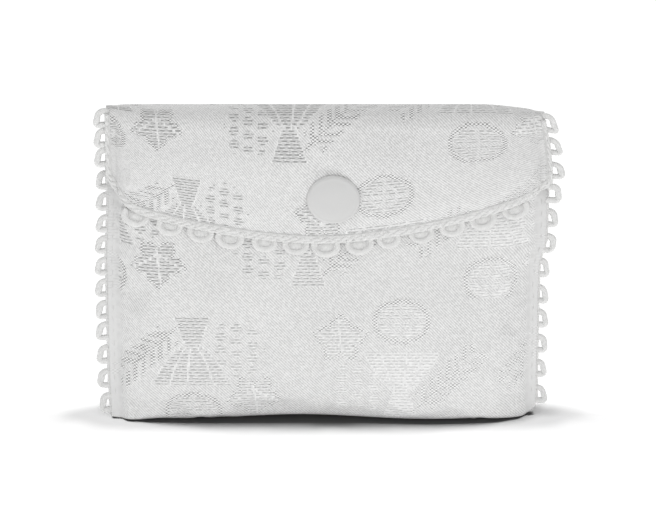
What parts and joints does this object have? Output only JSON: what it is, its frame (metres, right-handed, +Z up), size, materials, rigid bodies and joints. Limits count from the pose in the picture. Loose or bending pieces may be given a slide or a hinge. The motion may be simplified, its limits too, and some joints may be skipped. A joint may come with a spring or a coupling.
{
  "type": "prayer book pouch",
  "caption": "Padded satin envelope pouch with lace-trimmed sides and a snap-fastened flap folding over its open top.",
  "frame": {"origin": "middle of the bottom of the bounding box, on the surface the pouch stands on", "axes": "+X along the width, to the right seen from the front; +Y to the back, the flap and snap face -Y; +Z up"},
  "size_m": [0.1032, 0.0134, 0.0785],
  "materials": {
    "satin": "white brocade satin with a woven pattern",
    "wadding": "soft white polyester wadding",
    "lining": "plain white lining cloth",
    "lace": "white gimp cord and braid",
    "thread": "white sewing thread",
    "snap_resin": "white resin, low gloss"
  },
  "bodies": {
    "pouch": {"pocket_satin": "satin", "pocket_wadding": "wadding", "pocket_lining": "lining", "left_lace": "lace", "right_lace": "lace", "left_seam_stitches": "thread", "right_seam_stitches": "thread", "mouth_stitches": "thread", "snap_stud": "snap_resin", "snap_stud_post": "snap_resin"},
    "top_fold": {"fold_satin": "satin", "fold_wadding": "wadding", "fold_lining": "lining"},
    "flap": {"flap_satin": "satin", "flap_wadding": "wadding", "flap_lining": "lining", "flap_lace": "lace", "flap_stitches": "thread", "snap_cap": "snap_resin", "snap_socket": "snap_resin"}
  },
  "joints": [
    {"name": "back_fold", "type": "hinge", "parent": "pouch", "child": "top_fold", "pos_m": [0, 0.00453, 0.07785], "axis": [-1, 0, 0], "range_deg": [0, 90]},
    {"name": "front_fold", "type": "hinge", "parent": "top_fold", "child": "flap", "pos_m": [0, -0.00333, 0.07785], "axis": [-1, 0, 0], "range_deg": [0, 90]}
  ]
}
